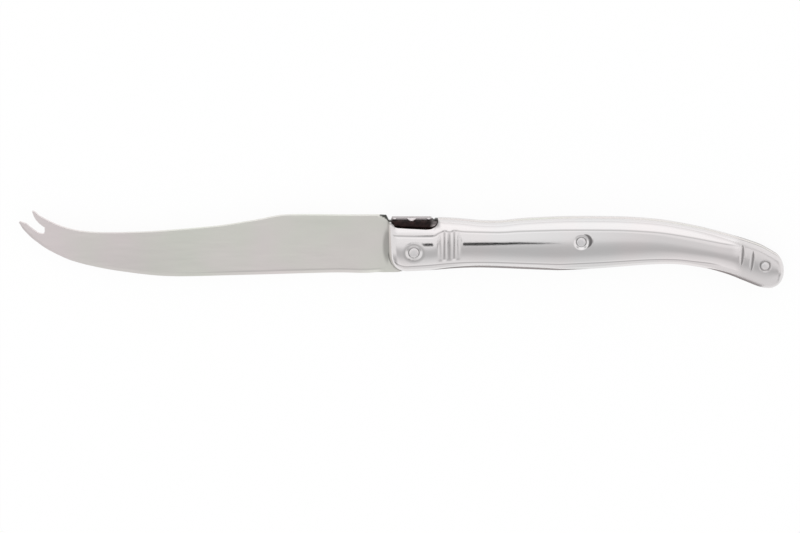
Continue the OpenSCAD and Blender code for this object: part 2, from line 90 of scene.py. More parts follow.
handleShape = {
    "length": 120, "height": 16, "thickness": 10.6, "wall": 1, "sideWall": 1,
    "crown": 0.7, "crownPower": 2.1,
    "frontRoll": 3, "tailRoll": 2.2, "frontCorner": 6, "tailTop": 2.5, "tailBottom": 4.7,
    "back": [[0, 0.487], [0.08, 0.487], [0.13, 0.478], [0.18, 0.458], [0.232, 0.421],
             [0.283, 0.418], [0.333, 0.456], [0.384, 0.479], [0.435, 0.495], [0.485, 0.5],
             [0.536, 0.498], [0.587, 0.492], [0.638, 0.471], [0.688, 0.436], [0.739, 0.373],
             [0.79, 0.295], [0.84, 0.197], [0.891, 0.085], [0.916, 0.022], [0.942, -0.052],
             [0.967, -0.156], [1, -0.306]],
    "belly": [[0, -0.537], [0.055, -0.517], [0.105, -0.497], [0.156, -0.464], [0.207, -0.446],
              [0.257, -0.448], [0.308, -0.462], [0.359, -0.478], [0.409, -0.492], [0.435, -0.496],
              [0.485, -0.48], [0.536, -0.458], [0.587, -0.427], [0.638, -0.396], [0.688, -0.377],
              [0.715, -0.377], [0.739, -0.386], [0.764, -0.41], [0.79, -0.443], [0.815, -0.482],
              [0.84, -0.535], [0.866, -0.6], [0.891, -0.675], [0.916, -0.752], [0.934, -0.806],
              [0.955, -0.845], [1, -0.85]],
    # how far the round shoulders reach in from the back and from the belly
    "backShoulder": [[0, 0.28], [0.11, 0.285], [0.127, 0.22], [0.1414, 0.165], [0.1535, 0.185],
                     [0.166, 0.15], [0.185, 0.16], [0.232, 0.138], [0.283, 0.14], [0.36, 0.165],
                     [0.485, 0.18], [0.688, 0.172], [0.79, 0.158], [0.84, 0.135], [0.88, 0.1],
                     [0.93, 0.07], [1, 0.06]],
    "bellyShoulder": [[0, 0.122], [0.08, 0.13], [0.232, 0.14], [0.485, 0.15], [0.638, 0.132],
                      [0.764, 0.126], [0.84, 0.165], [0.916, 0.19], [1, 0.2]],
    "shoulderLimit": 0.3, "shoulderAngle": 42, "innerCrease": 0.4, "innerWall": 0.5,
    # the sunk creases between shoulders and panel: where they start, where each ends, and the fades
    "creaseDepth": 0.06, "creaseWidth": 0.26, "creaseStart": [0.6, 1.4],
    "creaseEnds": [103, 108.5], "creaseFade": 6.5,
    # the fine V along the seam, a share of its full depth up to the tail
    "seamDepth": 0.14, "seamWidth": 0.3, "seamPower": 1.5, "seamShare": 0.2, "tailStart": [103.2, 4.4],
    # rows lie closer where the bands, pins, grooves and the scoop's ends are
    "rows": [[3, 5, 10], [5, 10.6, 46], [10.6, 14, 12], [14, 15.3, 26], [15.3, 21.8, 64],
             [21.8, 55, 66], [55, 61.6, 54], [61.6, 105.6, 88], [105.6, 117.4, 96]],
    "frontRows": 20, "tailRows": 24, "scoopRows": [0.8, 2.1, 27],
    # columns up the side wall, round the belly's shoulder, over the panel and round the back's shoulder
    "outerColumns": [5, 16, 78, 26], "innerColumns": [2, 4, 8, 6],
}
notchShape = {
    "length": 14, "seatDrop": 0.25, "bedLayer": 0.2, "reliefDepth": 0.95, "setback": 0.7,
    "reliefStart": 0.3, "reliefFlat": 0.7, "reliefGap": 0.05, "gap": 0.9, "wallRun": 0.9,
    "overrun": 2,
    # the scoop in the shells' backs, as shares of the notch's length and of the scoop's depth, and a
    # height that cuts nothing, for where there is no scoop
    "scoopDepth": 2.6, "noScoop": 1000,
    "scoop": [[-0.2, 0.36], [0.06, 0.36], [0.11, 0.52], [0.135, 0.76], [0.2, 0.84], [0.4, 0.91],
              [0.62, 0.97], [0.82, 1.02], [0.93, 0.96], [1, 0.77], [1.05, 0.5], [1.075, 0.2],
              [1.085, -0.4]],
}


def along(table, t):
    # cubic Hermite curve through a table of points, each slope taken from the points beside it
    x, y = np.array(table, float).T
    here = np.arange(len(x))
    before, after = np.maximum(here - 1, 0), np.minimum(here + 1, len(x) - 1)
    slope = (y[after] - y[before]) / (x[after] - x[before])
    i = np.clip(np.searchsorted(x, t, side="right") - 1, 0, len(x) - 2)
    run = x[i + 1] - x[i]
    u = (t - x[i]) / run
    v = 1 - u
    return (y[i] * v * v * (1 + 2 * u) + y[i + 1] * u * u * (3 - 2 * u)
            + run * u * v * (slope[i] * v - slope[i + 1] * u))


def mix(a, b, share):
    return a + (b - a) * share


def ease(v):
    # smooth step from 0 to 1: 3v^2 - 2v^3
    c = np.clip(v, 0, 1)
    return c * c * (3 - 2 * c)


def fadeIn(v, start, run):
    # smooth step from 0 at the start to 1 after a run
    return ease((v - start) / run)


def fadeOut(v, end, run):
    # smooth step from 1 down to 0 at the end, over a run
    return ease((end - v) / run)


def cornerCut(distance, radius):
    # how far a round corner has drawn in at a distance from its end
    left = np.clip(radius - distance, 0, radius)
    return radius - np.sqrt(radius * radius - left * left)


def rollIn(distance, radius, foot):
    # quarter ellipse from the foot's share up to the full height
    left = np.clip(1 - distance / radius, 0, 1)
    return foot + (1 - foot) * np.sqrt(1 - left * left)


def spineY(x):
    return bladeShape["height"] * along(bladeShape["spine"], -x / bladeShape["length"])


def edgeY(x):
    return bladeShape["height"] * along(bladeShape["cuttingEdge"], -x / bladeShape["length"])


def backY(x):
    h = handleShape
    return h["height"] * along(h["back"], x / h["length"]) - cornerCut(h["length"] - x, h["tailTop"])


def bellyY(x):
    h = handleShape
    return h["height"] * along(h["belly"], x / h["length"]) + cornerCut(h["length"] - x, h["tailBottom"])


halfTang = bladeShape["thickness"] / 2
halfHandle = handleShape["thickness"] / 2
notchTop = backY(0)
seatY = notchTop - notchShape["seatDrop"]
middleX = (handleShape["length"] - bladeShape["length"]) / 2
middleY = (spineY(np.linspace(-bladeShape["length"], 0, 2000)).max()
           + bellyY(np.linspace(0, handleShape["length"], 2000)).min()) / 2


def gridFaces(index):
    # quads between neighbouring rows and columns of a grid of vertex numbers
    a, b = index[:-1, :-1], index[1:, :-1]
    c, d = index[1:, 1:], index[:-1, 1:]
    return np.stack([a, b, c, d], axis=-1).reshape(-1, 4)


def addPiece(name, points, faceSets, material, nodes, sharpAngle=35, masks=None):
    # puts points in millimetres and sets of equal-sided faces into a mesh, keeps it in the CAD's box,
    # welds it (distances in metres) and turns it outwards. masks are shares from 0 to 1 at the points,
    # which the material reads
    placed = (np.asarray(points, float) - [middleX, middleY, -halfHandle]) * millimetre
    placed = np.clip(placed, np.array(cadBox[0]), np.array(cadBox[1]))
    mesh = bpy.data.meshes.new(name)
    sides = np.concatenate([np.full(len(f), f.shape[1]) for f in faceSets])
    corners = np.concatenate([f.ravel() for f in faceSets])
    mesh.vertices.add(len(placed))
    mesh.vertices.foreach_set("co", placed.ravel())
    mesh.loops.add(len(corners))
    mesh.loops.foreach_set("vertex_index", corners)
    mesh.polygons.add(len(sides))
    mesh.polygons.foreach_set("loop_start", np.concatenate([[0], np.cumsum(sides)[:-1]]))
    mesh.polygons.foreach_set("loop_total", sides)
    mesh.update(calc_edges=True)
    mesh.validate()
    for key, share in (masks or {}).items():
        mesh.attributes.new(key, "FLOAT", "POINT").data.foreach_set("value", share.ravel())
    work = bmesh.new()
    work.from_mesh(mesh)
    bmesh.ops.remove_doubles(work, verts=work.verts, dist=1e-7)
    bmesh.ops.dissolve_degenerate(work, edges=work.edges, dist=1e-8)
    bmesh.ops.recalc_face_normals(work, faces=work.faces)
    work.to_mesh(mesh)
    work.free()
    mesh.shade_smooth()
    mesh.set_sharp_from_angle(angle=math.radians(sharpAngle))
    piece = bpy.data.objects.new(name, mesh)
    bpy.context.scene.collection.objects.link(piece)
    mesh.materials.append(material)
    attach(piece, "root")
    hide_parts(*nodes)
    print("stage:", name, len(mesh.polygons), "faces")
    return piece


def hexColour(text):
    # sRGB hex to linear
    c = np.array([int(text[i:i + 2], 16) / 255 for i in (0, 2, 4)])
    linear = np.where(c <= 0.04045, c / 12.92, ((c + 0.055) / 1.055) ** 2.4)
    return (*linear.tolist(), 1)


def setInputs(tree, node, inputs):
    # a socket is linked, a value is set
    for key, value in inputs.items():
        if isinstance(value, bpy.types.NodeSocket):
            tree.links.new(value, node.inputs[key])
        else:
            node.inputs[key].default_value = value


def addNode(tree, kind, inputs=None, **settings):
    node = tree.nodes.new(kind)
    for key, value in settings.items():
        setattr(node, key, value)
    setInputs(tree, node, inputs or {})
    return node


def addMath(tree, operation, *values):
    return addNode(tree, "ShaderNodeMath", dict(enumerate(values)), operation=operation).outputs[0]


def addMask(tree, key):
    return addNode(tree, "ShaderNodeAttribute", attribute_name=key).outputs["Fac"]


def addNoise(tree, place, sizeMm, detail):
    # places are in metres
    inputs = {"Vector": place, "Scale": 1000 / sizeMm, "Detail": detail}
    return addNode(tree, "ShaderNodeTexNoise", inputs).outputs["Fac"]


def addRange(tree, value, low, high, start=0, end=1):
    inputs = {"Value": value, "From Min": low, "From Max": high, "To Min": start, "To Max": end}
    return addNode(tree, "ShaderNodeMapRange", inputs).outputs["Result"]


def mixColours(tree, share, one, two):
    # sockets 6 and 7 of the node, and its output 2, are those for colours
    inputs = {"Factor": share, 6: one, 7: two}
    return addNode(tree, "ShaderNodeMix", inputs, data_type="RGBA").outputs[2]


def mixShaders(tree, share, one, two):
    return addNode(tree, "ShaderNodeMixShader", {0: share, 1: one, 2: two}).outputs[0]


def addBump(tree, height, strength, depthMm):
    inputs = {"Height": height, "Strength": strength, "Distance": depthMm * millimetre}
    return addNode(tree, "ShaderNodeBump", inputs).outputs["Normal"]


def newMaterial(name):
    material = bpy.data.materials.new(name)
    material.use_nodes = True
    return material, material.node_tree, material.node_tree.nodes["Principled BSDF"]


# the part of each noise's values that is spread over the whole of the drift, and of the grain
noiseRange = {"drift": (0.35, 0.65), "grain": (0.3, 0.7)}


def steelMaterial(name, look):
    # stainless steel: a base colour that drifts a little, a grain of fine lines drawn along x, and the
    # masks for darkening (mostly painted shade in creases, cuts, seams and gaps, and painted dark
    # reflections), satin (ground and not buffed, rougher) and tint (moves the drift from the warm colour
    # towards the cool one)
    material, tree, shader = newMaterial(name)
    place = addNode(tree, "ShaderNodeTexCoord").outputs["Object"]
    drift = addMath(tree, "ADD", addNoise(tree, place, look["driftMm"], 2.0), addMask(tree, "tint"))
    colour = mixColours(tree, addRange(tree, drift, *noiseRange["drift"]),
                        hexColour(look["warm"]), hexColour(look["cool"]))
    shaded = mixColours(tree, addMask(tree, "shadeAndSoil"), colour, hexColour(look["shadeAndSoil"]))
    stretch = addNode(tree, "ShaderNodeMapping", {"Vector": place, "Scale": look["grainStretch"]})
    grain = addNoise(tree, stretch.outputs["Vector"], look["grainMm"], 3.0)
    rough = addRange(tree, grain, *noiseRange["grain"], *look["roughness"])
    # sockets 2 and 3 are those for numbers
    dulled = addNode(tree, "ShaderNodeMix", {"Factor": addMask(tree, "satin"), 2: rough,
                                             3: look["satin"]}, data_type="FLOAT")
    setInputs(tree, shader, {"Base Color": shaded, "Metallic": 1, "Roughness": dulled.outputs[0],
                             "Normal": addBump(tree, grain, look["bump"], look["bumpMm"])})
    return material


# Ground blade steel: fine belt lines leave an even, soft grey with no clear reflections.
satinLook = {"warm": "F0E8E8", "cool": "E9EAE2", "shadeAndSoil": "171A17", "satin": 0.5, "driftMm": 26,
             "grainMm": 0.5, "grainStretch": (0.05, 1, 1), "roughness": (0.4, 0.5),
             "bump": 0.15, "bumpMm": 0.01}
# Buffed sheet steel: near-mirror, with hairlines from the buffing wheel that soften its reflections.
buffedLook = {"warm": "F8F3F3", "cool": "F4F3F3", "shadeAndSoil": "2A2424", "satin": 0.36, "driftMm": 18,
              "grainMm": 0.6, "grainStretch": (0.1, 1, 1), "roughness": (0.08, 0.12),
              "bump": 0.08, "bumpMm": 0.004}
# Cast ornament steel, tumbled: duller than the shells and slightly pink, a painted reflection of its
# surroundings.
tumbledLook = {"warm": "F2E9EA", "cool": "ECE6E7", "shadeAndSoil": "54484A", "satin": 0.4, "driftMm": 4,
               "grainMm": 0.4, "grainStretch": (1, 1, 1), "roughness": (0.24, 0.34),
               "bump": 0.2, "bumpMm": 0.02}
# Peened pin heads: polished with the shells after they are hammered, so a faint hammer texture is left.
peenedLook = {"warm": "F4F0F0", "cool": "ECEBEC", "shadeAndSoil": "2A2424", "satin": 0.4, "driftMm": 3,
              "grainMm": 0.9, "grainStretch": (1, 1, 1), "roughness": (0.42, 0.5),
              "bump": 0.25, "bumpMm": 0.02}
# Turned sleeves inside the handle: bare tool marks round the tube.
turnedLook = {"warm": "B4B2AE", "cool": "A6A8AB", "shadeAndSoil": "2A2424", "satin": 0.4, "driftMm": 3,
              "grainMm": 0.3, "grainStretch": (0.1, 0.1, 1), "roughness": (0.35, 0.5),
              "bump": 0.3, "bumpMm": 0.02}
bladeSteel = steelMaterial("satinGroundStainless", satinLook)
shellSteel = steelMaterial("buffedSheetStainless", buffedLook)
ornamentSteel = steelMaterial("tumbledCastStainless", tumbledLook)
pinSteel = steelMaterial("peenedPinStainless", peenedLook)
sleeveSteel = steelMaterial("turnedSleeveSteel", turnedLook)


def resinMaterial(name, look):
    # set epoxy putty: near-black with a brown cast, low sheen, pitted by fine bubbles; down in the notch
    # its near-black also stands for the shade there, a painted shade. Its second mask turns it grey near
    # the notch's end wall: a painted shade of the steel end wall, which the grey stands in for
    material, tree, shader = newMaterial(name)
    place = addNode(tree, "ShaderNodeTexCoord").outputs["Object"]
    ramp = addNode(tree, "ShaderNodeValToRGB", {"Fac": addNoise(tree, place, look["cloudMm"], 3.0)})
    for element, colour, position in zip(ramp.color_ramp.elements, (look["dark"], look["light"]),
                                         look["cloudRange"]):
        element.color = hexColour(colour)
        element.position = position
    smeared = mixColours(tree, addMask(tree, "paintedSteelWall"), ramp.outputs["Color"], hexColour(look["steelWallGrey"]))
    pits = addNoise(tree, place, look["pitMm"], 4.0)
    setInputs(tree, shader, {"Base Color": smeared, "Roughness": look["roughness"], "IOR": look["ior"],
                             "Specular IOR Level": look["specular"],
                             "Normal": addBump(tree, pits, look["bump"], look["pitDepthMm"])})
    return material


resinLook = {"dark": "110607", "light": "33201F", "cloudMm": 1.6, "cloudRange": (0.35, 0.7),
             "pitMm": 0.5, "pitDepthMm": 0.05, "bump": 0.4, "steelWallGrey": "CFC6C6",
             "roughness": 0.6, "ior": 1.55, "specular": 0.18}
darkResin = resinMaterial("setEpoxyPutty", resinLook)


def scoopY(x):
    # lower edge of the scoop that is cut in the shells' backs, straight between its points
    n = notchShape
    s, d = np.array(n["scoop"]).T
    edge = notchTop - n["scoopDepth"] * np.interp(x / n["length"], s, d)
    return np.where(x < n["length"] * s[-1], edge, n["noScoop"])


def outlineTop(x):
    return np.where(x < 0, spineY(x), backY(x))


def bladeThicknessAt(x, y):
    # half thickness: full at the handle, then a flat grind with a sharpened bevel along the edge
    b = bladeShape
    share = np.clip(-x / b["length"], 0, 1)
    ground = fadeIn(-x, b["ricasso"], b["grindRun"])
    sharpened = fadeIn(-x, b["bevelStart"], b["bevelRun"])
    tine = fadeIn(share, b["tineStart"], 1 - b["tineStart"])
    top = outlineTop(x)
    foot = bladeFoot(x)
    rise = np.minimum(b["bevelWidth"], b["bevelLimit"] * (top - foot))
    spine = mix(halfTang, b["tip"] / 2, share)
    shoulder = mix(halfTang, mix(b["grind"] / 2, b["tip"] / 2, tine), ground)
    edge = mix(halfTang, mix(b["edge"] / 2, b["tip"] * b["tineEdge"] / 2, tine), sharpened)
    up = np.clip((y - foot) / rise, 0, 1)
    over = np.clip((y - foot - rise) / (top - foot - rise), 0, 1)
    half = np.where(y < foot + rise, mix(edge, shoulder, up), mix(shoulder, spine, over))
    # the filed facet is a plane through three points of the edges
    run, depth, drop = b["facetRun"], b["facetDepth"], b["facetDrop"]
    start = -notchShape["setback"] - run
    rising = depth * drop * (x - start) + depth * run * (y - spineY(0))
    plane = np.maximum(halfTang - rising / (run * drop), b["facetLeast"])
    near = (x > start) & (x < notchShape["reliefStart"])
    return np.where(near, np.minimum(half, plane), half)


def bladeFoot(x):
    # cutting edge, then the heel that runs on level under the handle's front corner and rises behind
    # it, then the tang's belly
    b = bladeShape
    run, level = b["heelRun"], b["heelLevel"]
    rising = fadeIn(x / run, level, 1 - level)
    heel = mix(edgeY(0), bellyY(run), rising)
    tang = np.where(x > run, bellyY(x), np.minimum(bellyY(x), heel))
    return np.where(x < 0, edgeY(x), tang)


def bladeTop(x):
    # the back, cut down along the notch: shoulder, relief, seat and end wall
    n = notchShape
    reliefY = seatY - n["reliefDepth"]
    seat = seatY - n["bedLayer"]
    reliefEnd = n["gap"] - n["reliefGap"]
    wallEnd = n["length"] + n["wallRun"]
    places = [-n["setback"], n["reliefStart"], mix(n["reliefStart"], reliefEnd, n["reliefFlat"]),
              reliefEnd, n["length"], wallEnd]
    line = np.interp(x, places, [spineY(0), reliefY, reliefY, seat, seat,
                                 notchTop + n["overrun"]])
    top = outlineTop(x)
    return np.where((x > -n["setback"]) & (x < wallEnd), np.minimum(top, line), top)


# Painted shade on the blade: how dark each mark is, from 0 to 1, and where it lies. Most pairs are a place
# and the run over which the mark fades.
bladeMarks = {
    # the filed notch: dark above a line, painted shade of the facet
    "filed": 0.9, "filedLine": [[-3, 8.85], [-0.8, 7.75], [0.5, 6.2], [13, 6.2], [14.95, 6.5]],
    "filedFade": 0.22,
    # painted shade and dark reflection of the handle's front, soft, on the blade before it: centre, half
    # sizes and fade
    "shade": 0.36, "shadeAt": [-0.1, -0.6], "shadeSize": [1.75, 5.6], "shadeEnd": [1.15, 0.5],
    # a painted shade line in the gap against the handle, darker at the front corner and below it
    "contact": [0.25, 0.8], "contactWidth": 0.3, "contactFade": [1, 2], "contactTop": 7,
    # a painted shade line along the top of the bevel, and painted shade on the bevel itself
    "grindLine": 0.2, "grindLineWidth": 0.17, "grindLineStart": [1, 3], "grindLineEnd": [70, 25],
    "bevel": 0.08, "bevelFade": 0.3, "bevelStart": [30, 30],
    # painted shade for the blade's darker reflection, deepest where the cutting edge swells, and its share
    # near the back
    "darkerPatch": 0.058, "patchAt": -75, "patchWidth": 16, "patchBack": 0.45, "patchFade": [-6, 9],
    # the drift of colour from the tip to the heel, which ends behind the heel: a painted colour cast of
    # the reflections
    "tint": 0.3, "tintMiddle": 0.5, "tintEnd": [4, 4],
}


def bladeMasks(x, y):
    m = bladeMarks
    lineX, lineY = np.array(m["filedLine"]).T
    filed = m["filed"] * fadeIn(y, np.interp(x, lineX, lineY), m["filedFade"])
    filed = filed * (x > lineX[0]) * (x < lineX[-1])
    reach = np.hypot(*[(v - at) / size for v, at, size in zip((x, y), m["shadeAt"], m["shadeSize"])])
    shade = m["shade"] * fadeOut(reach, *m["shadeEnd"]) * (x < 0)
    radius = handleShape["frontCorner"]
    centreY = bellyY(0) + radius
    corner = np.hypot(x - radius, y - centreY) - radius
    away = np.where(y < centreY, corner, -x) / m["contactWidth"]
    touching = mix(*m["contact"], fadeOut(y - centreY, *m["contactFade"]))
    touching = touching * np.exp(-away * away) * (x < radius) * (y < m["contactTop"])
    bevelTop = bladeFoot(x) + bladeShape["bevelWidth"]
    line = (y - bevelTop) / m["grindLineWidth"]
    grindLine = m["grindLine"] * np.exp(-line * line) * fadeIn(-x, *m["grindLineStart"]) * fadeOut(-x, *m["grindLineEnd"])
    bevel = m["bevel"] * fadeOut(y, bevelTop, m["bevelFade"]) * fadeIn(-x, *m["bevelStart"])
    place = (x - m["patchAt"]) / m["patchWidth"]
    darkerPatch = m["darkerPatch"] * np.exp(-place * place) * mix(1, m["patchBack"], fadeIn(y, *m["patchFade"]))
    tint = m["tint"] * (x / bladeShape["length"] + m["tintMiddle"]) * fadeOut(x, *m["tintEnd"])
    return {"shadeAndSoil": np.max([filed, shade, grindLine, touching, bevel, darkerPatch], axis=0), "tint": tint}


def makeBlade():
    # rows along x, columns from the edge to the back, on both sides. Past the slot's root the
    # columns part into the lower and the upper tine
    b = bladeShape
    length, height = b["length"], b["height"]
    root = -b["slotRoot"] * length
    bodyX = np.concatenate([np.linspace(*row) for row in b["rows"]]
                           + [np.linspace(b["bodyStart"], root, b["bodyRows"])])
    turn = np.linspace(0, np.pi / 2, b["lowerRows"])[1:]
    lowerX = root - (length + root) * (1 - np.cos(turn))
    lowerX[-1] = -length
    upperX = mix(root, -b["upperTip"] * length, np.linspace(0, 1, b["upperRows"])[1:])

    def slotLine(table, x):
        s, y = np.array(table).T
        return height * np.interp(-x / length, s, y)

    def columns(low, high, count):
        # from low, left out, to high
        return mix(low[:, None], high[:, None], np.linspace(0, 1, count + 1)[None, 1:])

    def lowerGroup(x, top):
        # the bevel's columns and those from the bevel up to the top
        foot = bladeFoot(x)
        rise = np.minimum(b["bevelWidth"], b["bevelLimit"] * (outlineTop(x) - foot))
        rise = np.minimum(rise, b["riseLimit"] * (top - foot))
        bevel = foot[:, None] + rise[:, None] * np.linspace(0, 1, b["bevelColumns"])[None, :]
        return np.hstack([bevel, columns(foot + rise, top, b["lowColumns"])])

    bevelTop = edgeY(root) + b["bevelWidth"]
    lowShare, highShare = ((slotLine(b[key], root) - bevelTop) / (spineY(root) - bevelTop)
                           for key in ("slotBelow", "slotAbove"))
    bevelTop = bladeFoot(bodyX) + b["bevelWidth"]
    fullTop = bladeTop(bodyX)
    lowTop, highFoot = mix(bevelTop, fullTop, lowShare), mix(bevelTop, fullTop, highShare)
    bodyY = np.hstack([lowerGroup(bodyX, lowTop), columns(lowTop, highFoot, b["rootColumns"]),
                       columns(highFoot, fullTop, b["highColumns"])])
    lowerY = lowerGroup(lowerX, np.minimum(slotLine(b["slotBelow"], lowerX), spineY(lowerX)))
    upperFoot = np.minimum(slotLine(b["slotAbove"], upperX), spineY(upperX) - b["leastDepth"])
    upperY = np.hstack([upperFoot[:, None], columns(upperFoot, spineY(upperX), b["highColumns"])])

    points, grids = [], []
    count = 0
    for side in (1, -1):
        for x, y in ((bodyX, bodyY), (lowerX, lowerY), (upperX, upperY)):
            wide = np.broadcast_to(x[:, None], y.shape)
            points.append(np.stack([wide, y, side * bladeThicknessAt(wide, y)], axis=-1).reshape(-1, 3))
            grids.append(count + np.arange(y.size).reshape(y.shape))
            count += y.size
    # the columns at the slot's lower and upper corner
    a = b["bevelColumns"] + b["lowColumns"] - 1
    c = a + b["rootColumns"]
    faces, lines = [], []
    for body, lower, upper in (grids[:3], grids[3:]):
        faces += [gridFaces(body), gridFaces(np.vstack([body[-1:, :a + 1], lower])),
                  gridFaces(np.vstack([body[-1:, c:], upper]))]
        # the open lines of a side: edge, back, slot below, slot above, slot's root and the three ends
        lines.append((np.concatenate([body[:, 0], lower[:, 0]]),
                      np.concatenate([body[:, -1], upper[:, -1]]),
                      np.concatenate([body[-1:, a], lower[:, a]]),
                      np.concatenate([body[-1:, c], upper[:, 0]]),
                      body[-1, a:c + 1], body[0], lower[-1], upper[-1]))
    faces += [gridFaces(np.stack([one, two], axis=1)) for one, two in zip(*lines)]
    points = np.vstack(points)
    return addPiece("blade_steel_piece", points, faces, bladeSteel, ["blade"], 28,
                    bladeMasks(points[:, 0], points[:, 1]))


def shellSection(x, inset):
    # half section of the handle: side wall, round shoulder, crowned panel, shoulder, side wall
    h = handleShape
    t = x / h["length"]
    low = bellyY(x) + cornerCut(x, h["frontCorner"])
    high = backY(x)
    deep = high - low
    foot = h["sideWall"] / (halfHandle - halfTang)
    tuck = inset * np.minimum(1, deep / h["height"])
    limit = h["shoulderLimit"] * deep
    bellyIn = np.minimum(limit, h["height"] * along(h["bellyShoulder"], t))
    backIn = np.minimum(limit, h["height"] * along(h["backShoulder"], t))
    return {
        "low": low + tuck, "high": high - tuck,
        "lowCrease": low + bellyIn + tuck * h["innerCrease"],
        "highCrease": high - backIn - tuck * h["innerCrease"],
        "wallZ": halfTang + h["sideWall"] - inset * h["innerWall"],
        "creaseZ": halfHandle - h["crown"] - inset,
        "lift": rollIn(x, h["frontRoll"], foot) * rollIn(h["length"] - x, h["tailRoll"], foot),
    }


# The two bands pressed across the bolster: painted shade lies beside and between them, and they are satin.
bandShape = {
    "place": 16.9, "pitch": 2.95, "width": 2.2, "rise": 0.21, "margin": 1.2, "foot": 0.85,
    "footRun": 0.2, "shadeAndSoil": 0.32, "shadeWidth": 0.38, "low": [1.2, 0.6], "highFade": 0.4,
    "satin": 0.6, "satinEnd": [3.9, 0.5],
}


def bandZ(x, t):
    # two cosine ridges that rise out of a sunk zone, level with the crown
    b = bandShape
    start = b["place"] - b["width"] / 2 - b["margin"]
    end = b["place"] + b["pitch"] + b["width"] / 2 + b["margin"]
    zone = fadeIn(x, start, b["margin"]) * fadeOut(x, end, b["margin"])

    def ridge(middle):
        return np.cos(np.pi / 2 * np.clip(np.abs(x - middle) * 2 / b["width"], 0, 1)) ** 2

    return b["rise"] * fadeIn(t, -b["foot"], b["footRun"]) * (
        ridge(b["place"]) + ridge(b["place"] + b["pitch"]) - zone * (1 - t * t))


# Pins: places along the handle, heights as shares of its depth there, and diameters of heads and dishes.
pinShape = {
    "places": [7.7, 58.32, 114.1], "heights": [0.4, 0.586, 0.625],
    "heads": [2.9, 2.7, 2.4], "dishes": [5.2, 4.5, 3.7], "floorMargins": [0.15, 0.15, 0.28],
    "dishDepth": 0.45, "dishBlend": 0.12, "shank": 2, "chamfer": 0.05, "headWall": 0.12,
    "relief": 0.08, "domePower": 0.8, "domeRows": 16, "columns": 97,
}
pinCentres = [(x, mix(bellyY(x), backY(x), share))
              for x, share in zip(pinShape["places"], pinShape["heights"])]
# Round each pin: how dark its painted shade ring is, its width, its least share above and below the pin,
# how dark the painted shade on the dish's upper and lower sides is, how far the sheet is drawn in round
# it, and how dark the painted shade round the dish is.
dishMarks = {
    "rings": [[0.7, 0.18, 0.45, 0.3, 0.05, 0.13], [0.75, 0.17, 0.55, 0, 0.03, 0.04],
              [0.66, 0.28, 0.76, 0, 0, 0]],
    "ringInset": 0.03, "sideStart": [0, 0.2], "sideEnd": [0.2, 0.3], "dishShadeEnd": [1.1, 0.8],
    "drawReach": 1.1, "leastRadius": 0.01,
}
# A painted shade crescent beside the middle pin, which changes no height: its centre from the pin's, its
# radius and fade, and its edge at the dish.
crescentShade = {"right": 1.25, "up": 0.35, "radius": 2.25, "fade": 0.3, "dishEdge": [0.05, 0.25],
             "shadeAndSoil": 0.8}
# The two filed grooves at the tail, each a lens along its length, with a raised lip at its sides and
# painted shade along one flank.
grooveShape = {
    "places": [107.05, 110.1], "middles": [-2.75, -4.45], "tilts": [5, 6], "halfLength": 3.5,
    "depth": 0.42, "flank": 1.9, "lip": 0.07, "lipFrom": 0.02, "lipGap": 0.2, "lipWidth": 0.16,
    "shadeAndSoil": 0.7, "shadeFade": 0.12, "shadeShift": 0.15, "shadeWidth": 0.5,
}


def pressedDetail(x, y, z):
    # dishes round the pins and the filed grooves, as changes of height, and the painted shade in and round
    # them, with a painted shade crescent beside the middle pin
    p, m, d, g = pinShape, dishMarks, crescentShade, grooveShape
    shadeAndSoil = 0 * z
    for (px, py), head, dish, margin, ring in zip(pinCentres, p["heads"], p["dishes"],
                                                  p["floorMargins"], m["rings"]):
        dark, width, least, sides, drawIn, dishShade = ring
        r = np.hypot(x - px, y - py)
        floor, rim = head / 2 + margin, dish / 2 + p["dishBlend"]
        cone = fadeOut(r, rim, rim - floor)
        z = z + cone * (np.minimum(z, halfHandle - p["dishDepth"]) - z)
        level, upright = (((v - centre) / np.maximum(r, m["leastRadius"])) ** 2
                          for v, centre in ((x, px), (y, py)))
        line = (r - floor + m["ringInset"]) / width
        past = r - dish / 2
        shadeAndSoil = np.max([shadeAndSoil, dark * mix(least, 1, level) * np.exp(-line * line),
                       sides * upright * fadeOut(past, *m["sideEnd"]) * fadeIn(r - floor, *m["sideStart"]),
                       dishShade * fadeOut(past, *m["dishShadeEnd"])], axis=0)
        z = z - drawIn * np.clip(1 - past / m["drawReach"], 0, 1) ** 2
    (px, py), dish = pinCentres[1], p["dishes"][1]
    inside = fadeOut(np.hypot(x - px - d["right"], y - py - d["up"]), d["radius"], d["fade"])
    outside = fadeIn(np.hypot(x - px, y - py) - dish / 2, *d["dishEdge"])
    shadeAndSoil = np.maximum(shadeAndSoil, d["shadeAndSoil"] * inside * outside)
    for px, py, tilt in zip(g["places"], g["middles"], g["tilts"]):
        turn = math.radians(tilt)
        across = (x - px) * math.cos(turn) - (y - py) * math.sin(turn)
        down = (x - px) * math.sin(turn) + (y - py) * math.cos(turn)
        deep = g["depth"] * np.clip(1 - (down / g["halfLength"]) ** 2, 0, 1)
        cut = deep - np.abs(across) / g["flank"]
        beside = (np.abs(across) - deep * g["flank"] - g["lipGap"]) / g["lipWidth"]
        lip = g["lip"] * (deep > g["lipFrom"]) * np.exp(-beside * beside)
        z = z - np.maximum(cut, 0) + lip * deep / g["depth"]
        line = (across - g["shadeShift"]) / g["shadeWidth"]
        shadeAndSoil = np.maximum(shadeAndSoil, g["shadeAndSoil"] * fadeIn(cut, 0, g["shadeFade"]) * np.exp(-line * line))
    return z, shadeAndSoil
